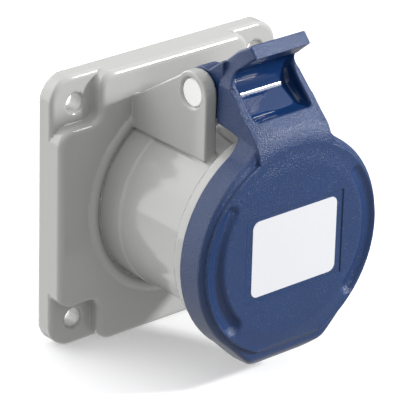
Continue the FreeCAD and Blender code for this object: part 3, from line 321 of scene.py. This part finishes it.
def plastic(name, colour, rough, grain, bump, mottle=0.03, dust=0.02,
            specular=0.5, polished=False):
    """A moulded plastic with its own colour, gloss and grain."""
    material = bpy.data.materials.new(name)
    material.use_nodes = True
    nodes, links = material.node_tree.nodes, material.node_tree.links
    shader = nodes["Principled BSDF"]
    shader.inputs["Specular IOR Level"].default_value = specular
    skin = nodes.new("ShaderNodeGroup")
    skin.node_tree = skin_group
    skin.inputs["Grain Scale"].default_value = grain
    skin.inputs["Mottle"].default_value = mottle
    skin.inputs["Dust"].default_value = dust
    skin.inputs["Colour"].default_value = (*colour, 1.0)
    skin.inputs["Roughness"].default_value = rough
    if polished:
        mask = nodes.new("ShaderNodeAttribute")
        mask.attribute_name = "polish"
        links.new(mask.outputs["Fac"], skin.inputs["Polish"])
    links.new(skin.outputs["Colour"], shader.inputs["Base Color"])
    links.new(skin.outputs["Roughness"], shader.inputs["Roughness"])
    relief = nodes.new("ShaderNodeBump")
    relief.inputs["Strength"].default_value = bump
    relief.inputs["Distance"].default_value = grain_depth
    links.new(skin.outputs["Height"], relief.inputs["Height"])
    links.new(relief.outputs["Normal"], shader.inputs["Normal"])
    return material


grey_plastic = plastic("grey_moulding", (0.43, 0.43, 0.42), rough=0.11, grain=2600.0, bump=0.04, mottle=0.05)
housing, _ = moulded("housing_moulding", housing_field,
                     low=(-38.1, -0.7, -38.1), high=(38.1, 51.3, 44.1), cell=0.60)
housing.data.materials.append(grey_plastic)
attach(housing, "housing")
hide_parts("front_housing")

# Fixing side: seals and carrier
# A flat rubber ring seals the flange to the panel, and a smaller one seals the carrier ring
# in the bore. Both are moulded rubber, matt black, with a little chalky bloom.


def finish_node(name, material):
    """Give a carried-over solid its own finish."""
    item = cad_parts[name]
    item.data.materials.clear()
    item.data.materials.append(material)


rubber = plastic("black_rubber", (0.018, 0.018, 0.019), rough=0.62, grain=1500.0, bump=0.25,
                 mottle=0.25, dust=0.05, specular=0.35)
finish_node("flange_gasket", rubber)
finish_node("carrier_seal", rubber)

# Insulators, carrier ring and terminal holder
# The three insulators make the tower round the contacts. A ring clasps their feet, and the
# holder behind is screwed to the housing. All are a glass-filled moulding, near black, and
# the holder and its retainer are a shade lighter.
carrier_plastic = plastic("carrier_moulding", (0.040, 0.042, 0.048), rough=0.42, grain=2200.0,
                          bump=0.25, mottle=0.30, dust=0.05)
holder_plastic = plastic("holder_moulding", (0.075, 0.077, 0.084), rough=0.46, grain=2200.0,
                         bump=0.25, mottle=0.30, dust=0.08)
for name in ("insulator_earth", "insulator_line", "insulator_neutral", "carrier_ring"):
    finish_node(name, carrier_plastic)
for name in ("terminal_holder", "contact_retainer"):
    finish_node(name, holder_plastic)

# Contact sleeves, terminals, spring rings and screws
# The sleeves are turned brass with a nickel plating and the terminals bare turned brass.
# The rings are spring steel and the screws zinc-plated steel, so each has fine turning
# lines round it and a faint uneven tarnish.


def turned_skin():
    """A shader group for turned metal: fine lines round the work and a cloudy tarnish."""
    group = bpy.data.node_groups.new("turned_skin", "ShaderNodeTree")
    face = group.interface
    for name, value in (("Line Scale", 900.0), ("Tarnish", 0.2), ("Roughness", 0.3)):
        socket = face.new_socket(name=name, in_out="INPUT", socket_type="NodeSocketFloat")
        socket.default_value = value
    face.new_socket(name="Colour", in_out="INPUT", socket_type="NodeSocketColor")
    face.new_socket(name="Tarnished", in_out="INPUT", socket_type="NodeSocketColor")
    face.new_socket(name="Colour", in_out="OUTPUT", socket_type="NodeSocketColor")
    face.new_socket(name="Roughness", in_out="OUTPUT", socket_type="NodeSocketFloat")
    face.new_socket(name="Height", in_out="OUTPUT", socket_type="NodeSocketFloat")
    nodes, links = group.nodes, group.links
    take, give = nodes.new("NodeGroupInput"), nodes.new("NodeGroupOutput")
    place = nodes.new("ShaderNodeTexCoord")
    stretched = nodes.new("ShaderNodeMapping")
    stretched.inputs["Scale"].default_value = (0.12, 1.0, 0.12)
    links.new(place.outputs["Object"], stretched.inputs["Vector"])
    lines = nodes.new("ShaderNodeTexNoise")
    lines.inputs["Detail"].default_value = 5.0
    links.new(stretched.outputs["Vector"], lines.inputs["Vector"])
    links.new(take.outputs["Line Scale"], lines.inputs["Scale"])
    links.new(lines.outputs["Fac"], give.inputs["Height"])
    cloud = nodes.new("ShaderNodeTexNoise")
    cloud.inputs["Scale"].default_value = 260.0
    cloud.inputs["Detail"].default_value = 4.0
    links.new(place.outputs["Object"], cloud.inputs["Vector"])
    patchy = nodes.new("ShaderNodeMapRange")
    patchy.inputs["From Min"].default_value = 0.42
    patchy.inputs["From Max"].default_value = 0.72
    links.new(cloud.outputs["Fac"], patchy.inputs["Value"])
    amount = nodes.new("ShaderNodeMath")
    amount.operation = "MULTIPLY"
    links.new(patchy.outputs["Result"], amount.inputs[0])
    links.new(take.outputs["Tarnish"], amount.inputs[1])
    mixed = nodes.new("ShaderNodeMix")
    mixed.data_type = "RGBA"
    links.new(amount.outputs[0], mixed.inputs["Factor"])
    links.new(take.outputs["Colour"], mixed.inputs["A"])
    links.new(take.outputs["Tarnished"], mixed.inputs["B"])
    links.new(mixed.outputs["Result"], give.inputs["Colour"])
    duller = nodes.new("ShaderNodeMath")
    duller.operation = "MULTIPLY_ADD"
    links.new(amount.outputs[0], duller.inputs[0])
    duller.inputs[1].default_value = 0.35
    links.new(take.outputs["Roughness"], duller.inputs[2])
    links.new(duller.outputs[0], give.inputs["Roughness"])
    return group


turned_group = turned_skin()


line_strength, line_depth = 0.15, 0.00005


def metal(name, colour, tarnished, rough, tarnish):
    """A turned metal with its own colour, gloss and tarnish."""
    material = bpy.data.materials.new(name)
    material.use_nodes = True
    nodes, links = material.node_tree.nodes, material.node_tree.links
    shader = nodes["Principled BSDF"]
    shader.inputs["Metallic"].default_value = 1.0
    skin = nodes.new("ShaderNodeGroup")
    skin.node_tree = turned_group
    skin.inputs["Colour"].default_value = (*colour, 1.0)
    skin.inputs["Tarnished"].default_value = (*tarnished, 1.0)
    skin.inputs["Roughness"].default_value = rough
    skin.inputs["Tarnish"].default_value = tarnish
    links.new(skin.outputs["Colour"], shader.inputs["Base Color"])
    links.new(skin.outputs["Roughness"], shader.inputs["Roughness"])
    relief = nodes.new("ShaderNodeBump")
    relief.inputs["Strength"].default_value = line_strength
    relief.inputs["Distance"].default_value = line_depth
    links.new(skin.outputs["Height"], relief.inputs["Height"])
    links.new(relief.outputs["Normal"], shader.inputs["Normal"])
    return material


plated = metal("plated_contact", (0.78, 0.76, 0.70), (0.55, 0.50, 0.40), rough=0.24, tarnish=0.5)
brass = metal("terminal_brass", (0.78, 0.58, 0.28), (0.45, 0.30, 0.14), rough=0.30, tarnish=0.6)
steel = metal("spring_steel", (0.56, 0.56, 0.57), (0.34, 0.32, 0.30), rough=0.30, tarnish=0.4)
zinc = metal("zinc_screw", (0.44, 0.46, 0.48), (0.32, 0.31, 0.27), rough=0.34, tarnish=0.7)
for name in ("earth", "line", "neutral"):
    finish_node("contact_" + name, plated)
    finish_node("ring_" + name, steel)
    finish_node("terminal_" + name, brass)
for name in ("carrier_screws", "retainer_screws", "clamp_screws"):
    finish_node(name, zinc)

# Hinge pin
# A white nylon pin through both ears, a little short of their outer faces.
pin_plastic = plastic("white_pin", (0.88, 0.88, 0.87), rough=0.34, grain=1800.0, bump=0.05)
finish_node("hinge_pin", pin_plastic)

# Lid spring
# Round spring wire wound on the pin, one leg down to the barrel and one up the lid's neck.
coil_radius = 4.65
wire_radius = 0.55
coil_pitch = 1.3
coil_turns = 4 + 40 / 360
coil_start = math.radians(220)
leg_down = 11.95
leg_up = 6.0
wire_steps = 300
wire_path = []
for step in range(wire_steps + 1):
    turn = coil_turns * step / wire_steps
    angle = coil_start - turn * 2 * math.pi
    wire_path.append(Vector((
        (turn - coil_turns / 2) * coil_pitch,
        -hinge[0] + coil_radius * math.cos(angle),
        hinge[1] + coil_radius * math.sin(angle),
    )))
down = (wire_path[0] - wire_path[1]).normalized()
up = (wire_path[-1] - wire_path[-2]).normalized()
wire_path.insert(0, wire_path[0] + down * leg_down)
wire_path.append(wire_path[-1] + up * leg_up)
wire_curve = bpy.data.curves.new("spring_wire", "CURVE")
wire_curve.dimensions = "3D"
wire_curve.bevel_depth = wire_radius / 1000
wire_curve.bevel_resolution = 4
wire_curve.use_fill_caps = True
wire_line = wire_curve.splines.new("POLY")
wire_line.points.add(len(wire_path) - 1)
for spot, place in zip(wire_line.points, wire_path):
    spot.co = (*(place / 1000), 1.0)
wire_shape = bpy.data.objects.new("wire_shape", wire_curve)
bpy.context.scene.collection.objects.link(wire_shape)
spring = bpy.data.objects.new("torsion_spring", bpy.data.meshes.new_from_object(wire_shape))
bpy.data.objects.remove(wire_shape)
bpy.context.scene.collection.objects.link(spring)
for face in spring.data.polygons:
    face.use_smooth = True
spring.data.materials.clear()
spring.data.materials.append(steel)
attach(spring, "housing")
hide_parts("lid_spring")

# Lid gasket
# A rubber ring in the lid, kept in place by a thin rib, that the barrel's mouth closes on.
finish_node("lid_gasket", rubber)

# Lid
# The cap, the finger lip, the neck with its hollow, the lever and the knuckles are one
# moulding in blue plastic. The tool was spark-eroded, so the skin sparkles with a coarse
# grain, and only the finger hollow and the lid's inside were polished.
rim = 54.3
face_low, face_high = 55.3, 55.7
face_radius = 28.15
ledge = 24.8
cap_radius, cap_back = 30.0, 46.8
lip_foot, lip_edge, lip_half = 32.5, 50.0, 9.3
flank_run, flank_rise, flank_length = 6.4, 8.8, 10.88
touch_across, touch_down = 0.808, 0.589
crown_radius, crown_slope, crown_top = 31.5, 0.704, 41.3
crown_depth, crown_lean = 54.6, 1.008
swell_edge, swell_fade = 26.8, 5.0
neck_foot = 15.0
neck_half, neck_narrowing = 12.0, 0.4
neck_low, neck_high, neck_rise = 30.24, 41.2, 10.96
slant_depth = 55.95
lever_half, lever_flare, lever_rise, lever_top = 9.1, 2.5, 9.6, 50.8
hollow_half, hollow_edge = 9.2, 1.3
knuckle_half, knuckle_bore = 10.8, 3.78
slot_half, slot_depth = 5.5, 37.3
channel_reach, channel_depth = 27.5, 56.4
channel_low, channel_high = math.radians(-39.4), math.radians(36.4)
channel_half, channel_narrowing = 2.0, 0.45
label_half, label_top, label_foot, label_deep = 16.0, 11.95, 11.05, 0.16
inside_radius, inside_depth = 27.4, 52.2
rib_inner, rib_outer, rib_depth = 20.9, 22.3, 51.0
neck_side = [
    (38.1, 31.2), (38.1, 47.18), (42.0, 50.7), (46.8, 53.5), (49.2, 50.8), (43.8, 46.4),
    *bow((45.54, 43.71), 3.2, 122.9, 214.5)[1:-1],
    (42.9, 41.9), (55.95, 30.24), (55.95, 25.0), (46.8, 25.0), (46.8, 29.5), (46.3, 29.95), (43.4, 30.6),
]
hollow_side = [
    (53.0, 37.6), (49.46, 34.08), *bow((47.19, 36.67), 2.5, 268.0, 232.5),
    *bow((43.38, 39.88), 2.73, 232.5, 207.7, 6), *bow((45.92, 41.21), 5.6, 205.0, 112.2),
    (53.0, 46.4),
]
knuckle_side = [(39.1, 31.2), (32.0, 31.8)] + bow(hinge, 6.0, 270.0, 74.0)[1:]
knuckle_side += [(37.2, 46.4), (38.1, 47.18), (39.1, 47.18)]


def lid_hollow(x, d, z):
    """The finger's hollow between the neck's ribs."""
    return shared(outline(d, z, hollow_side), np.abs(x) - hollow_half, hollow_edge)


def channel_field(x, z):
    """Distance in the face to the nearer side channel's middle, and half its width there."""
    angle = np.clip(np.arctan2(z, np.abs(x)), channel_low, channel_high)
    half = channel_half - channel_narrowing * angle
    centre = channel_reach - half
    return np.hypot(np.abs(x) - centre * np.cos(angle), z - centre * np.sin(angle)), half


def lid_field(x, d, z):
    """The whole lid: cap and lip, raised face, neck, lever and knuckles."""
    across = np.abs(x)
    round_way = np.hypot(x, z)
    circle = round_way - cap_radius
    flank = (flank_run * (across - lip_half) - flank_rise * (z + lip_foot)) / flank_length
    touch = touch_across * across - touch_down * z - cap_radius
    lip = shared(shared(-z - lip_foot, flank, 2.2), touch, 5.0)
    lip = np.maximum(lip, touch_down * across + touch_across * z)
    strip = np.maximum(across - neck_half, neck_foot - z)
    plan = np.minimum(circle, lip)
    plan = np.where(z > 0, blend(plan, strip, 3.5), plan)
    cap = shared(plan + (d - cap_back) * 0.4 / 6.1, d - rim, 1.4)
    cap = shared(cap, cap_back - d, 0.4)
    fore = ((d - lip_edge) * 3.9 - (z + lip_foot) * 4.3) / 5.805
    aft = (-(d - lip_edge) * 0.7 - (z + lip_foot) * 3.2) / 3.276
    cap = shared(shared(cap, fore, 0.8), aft, 0.8)
    crown_foot = np.maximum(z - (crown_depth - d) * crown_lean, 0)
    crown = (np.hypot(x, crown_foot) - crown_radius) * crown_slope - np.maximum(z - crown_top, 0) * 2
    neck_front = shared(crown, d - face_low, 2.4)
    slant = (d - slant_depth) * 0.6663 + (z - neck_low) * 0.7457
    cap = np.where(z > neck_foot, np.maximum(cap, slant), cap)
    cap = np.where(z > neck_foot, np.maximum(cap, neck_front), cap)

    swell = np.clip((swell_edge - round_way) / swell_fade, 0, 1)
    face = face_low + (face_high - face_low) * swell * swell * (3 - 2 * swell)
    raised = shared(round_way - face_radius, d - face, 0.45)
    kept = np.minimum(-(z + ledge), -((z + ledge) * 2.7 + (across - 10.0) * 1.7) / 3.19)
    step = (kept - (face_high - d) * 1.63) / 1.912
    raised = shared(raised, step, 0.35)
    body = np.minimum(cap, np.maximum(raised, 47.5 - d))

    half = np.where(
        z < neck_high,
        neck_half - np.clip((z - neck_low) / neck_rise, 0, 1) * neck_narrowing,
        lever_half + lever_flare * np.clip(1 - (z - neck_high) / lever_rise, 0, 1) ** 2)
    lean = np.where((z > neck_high) & (z < lever_top), 0.93, 1.0)
    neck = shared(outline(d, z, neck_side), (across - half) * lean, 0.7)
    neck = shared(neck, neck_front, 0.3)
    body = np.minimum(body, neck)
    body = cut(body, lid_hollow(x, d, z), 0.9)
    knuckles = shared(outline(d, z, knuckle_side), across - knuckle_half, 0.4)
    body = np.minimum(body, knuckles)
    slot = np.maximum(np.maximum(across - slot_half, d - slot_depth), -z)
    body = cut(body, slot, 0.3)
    body = cut(body, np.hypot(d - hinge[0], z - hinge[1]) - knuckle_bore, 0.2)

    middle, half = channel_field(x, z)
    body = cut(body, np.hypot(middle, d - channel_depth) - np.hypot(half, 1.0), 0.6)
    label = np.maximum(
        np.maximum(across - label_half, z - label_top),
        np.maximum(-z - label_foot, face_high - label_deep - d))
    body = cut(body, label, 0.1)
    inside = shared(round_way - inside_radius, d - inside_depth, 0.5)
    rib = np.maximum(np.maximum(rib_inner - round_way, round_way - rib_outer), rib_depth - d)
    return cut(body, np.maximum(inside, -rib), 0.2)


blue_plastic = plastic("blue_moulding", (0.008, 0.034, 0.122), rough=0.30, grain=3600.0, bump=1.0,
                       mottle=0.30, dust=0.01, polished=True)
lid, lid_spots = moulded("lid_moulding", lid_field,
                         low=(-31.0, 25.4, -33.1), high=(31.0, 56.4, 54.2), cell=0.40)
polish_fade, polished_depth, polished_radius = 0.6, 53.0, 27.6
x, d, z = lid_spots.T
polish = np.clip(1.0 - np.abs(lid_hollow(x, d, z)) / polish_fade, 0, 1)
polish = np.maximum(polish, (d < polished_depth) * (np.hypot(x, z) < polished_radius))
mask = lid.data.attributes.new("polish", "FLOAT", "POINT")
mask.data.foreach_set("value", polish.astype(np.float32))
lid.data.materials.append(blue_plastic)
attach(lid, "lid")
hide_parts("lid")

# Label plate
# A thin pale plastic plate with round corners, lying in the lid's shallow recess.
label_card = plastic("label_card", (0.66, 0.67, 0.70), rough=0.42, grain=1200.0, bump=0.05)
finish_node("label_plate", label_card)

# Studio
# A white sweep under the flange's lower edge, a small hard light ahead at the right, a soft
# one above it that shows only as gloss, and a bright wall behind at the left that the grey
# barrel mirrors. The sweep stays out of mirrored and bounced light.
floor_level, floor_reach = -0.0376, 3.0
floor_corners = [
    (floor_reach * a, floor_reach * b, floor_level) for a, b in ((-1, -1), (1, -1), (1, 1), (-1, 1))]
floor_mesh = bpy.data.meshes.new("studio_floor")
floor_mesh.from_pydata(floor_corners, [], [(0, 1, 2, 3)])
studio_floor = bpy.data.objects.new("studio_floor", floor_mesh)
bpy.context.scene.collection.objects.link(studio_floor)
floor_paint = bpy.data.materials.new("studio_floor")
floor_paint.use_nodes = True
floor_shader = floor_paint.node_tree.nodes["Principled BSDF"]
floor_shader.inputs["Base Color"].default_value = (0.80, 0.80, 0.81, 1.0)
floor_shader.inputs["Roughness"].default_value = 0.8
floor_shader.inputs["Specular IOR Level"].default_value = 0.1
floor_shader.inputs["Emission Color"].default_value = (1.0, 1.0, 1.0, 1.0)
floor_shader.inputs["Emission Strength"].default_value = 0.22
floor_mesh.materials.append(floor_paint)
studio_floor.visible_glossy = False
studio_floor.visible_diffuse = False
part_middle = Vector((0, -0.04, 0.02))


def round_light(name, place, size, power):
    """A round lamp that faces the part."""
    data = bpy.data.lights.new(name, "AREA")
    data.shape = "DISK"
    data.size = size
    data.energy = power
    lamp = bpy.data.objects.new(name, data)
    bpy.context.scene.collection.objects.link(lamp)
    lamp.location = place
    lamp.rotation_mode = "QUATERNION"
    lamp.rotation_quaternion = (part_middle - lamp.location).to_track_quat("-Z", "Y")
    lamp.visible_camera = False
    return lamp


round_light("key_light", (0.648, -0.657, 0.458), size=0.14, power=11.5)
gloss_light = round_light("gloss_light", (0.61, -0.50, 0.66), size=0.32, power=2.6)
gloss_light.visible_diffuse = False

surround = bpy.data.worlds.new("studio_surround")
surround.use_nodes = True
air, wires = surround.node_tree.nodes, surround.node_tree.links
looking = air.new("ShaderNodeTexCoord")
backwards = air.new("ShaderNodeVectorMath")
backwards.operation = "DOT_PRODUCT"
backwards.inputs[1].default_value = (-0.40, 0.917, 0.0)
wires.new(looking.outputs["Generated"], backwards.inputs[0])
upwards = air.new("ShaderNodeSeparateXYZ")
wires.new(looking.outputs["Generated"], upwards.inputs[0])


def ramp(source, start, stop, low, high):
    """A number that goes from low to high as the source goes from start to stop."""
    node = air.new("ShaderNodeMapRange")
    node.interpolation_type = "SMOOTHSTEP"
    for name, value in (("From Min", start), ("From Max", stop), ("To Min", low), ("To Max", high)):
        node.inputs[name].default_value = value
    wires.new(source, node.inputs["Value"])
    return node.outputs["Result"]


def times(first, second):
    """The product of two numbers."""
    node = air.new("ShaderNodeMath")
    node.operation = "MULTIPLY"
    wires.new(first, node.inputs[0])
    wires.new(second, node.inputs[1])
    return node.outputs[0]


wall_width = ramp(backwards.outputs["Value"], 0.55, 0.75, 0.0, 1.0)
wall_top = ramp(upwards.outputs["Z"], 0.6, 0.85, 1.0, 0.0)
wall_glow = ramp(upwards.outputs["Z"], -0.15, -0.12, 0.9, 2.7)
wall = times(times(wall_width, wall_top), wall_glow)
open_air = ramp(upwards.outputs["Z"], 0.1, 0.9, 0.30, 1.15)
ground = ramp(upwards.outputs["Z"], -0.4, 0.0, 2.2, 1.0)
whole = air.new("ShaderNodeMath")
wires.new(wall, whole.inputs[0])
wires.new(times(open_air, ground), whole.inputs[1])
wires.new(whole.outputs[0], air["Background"].inputs["Strength"])
air["Background"].inputs["Color"].default_value = (1.0, 1.0, 1.0, 1.0)
bpy.context.scene.world = surround
bpy.context.scene.view_settings.view_transform = "Standard"
